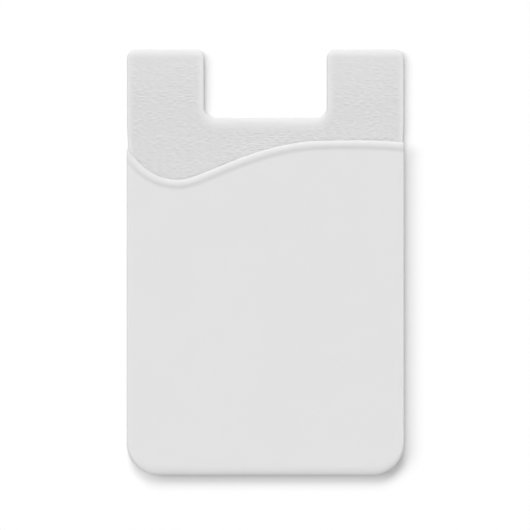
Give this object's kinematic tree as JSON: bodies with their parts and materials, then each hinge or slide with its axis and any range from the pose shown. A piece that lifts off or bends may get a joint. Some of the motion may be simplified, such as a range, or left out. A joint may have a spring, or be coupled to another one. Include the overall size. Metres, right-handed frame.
{
  "type": "stick-on phone card wallet",
  "caption": "Flat silicone card sleeve that sticks to the back of a phone, with a thumb cut-out between two ears and a pocket with a wavy beaded mouth.",
  "frame": {"origin": "middle of the outline on the outer face of the release liner, which is the lowest face as it lies on its back", "axes": "+X across the wallet, +Y along it towards the two ears, +Z out of the front of the card pocket"},
  "size_m": [0.056, 0.086, 0.0036],
  "materials": {
    "silicone": "matte",
    "adhesive": "satin",
    "liner": "satin"
  },
  "bodies": {
    "root": {"silicone_sleeve": "silicone", "adhesive_sheet": "adhesive", "release_liner": "liner"}
  },
  "joints": []
}
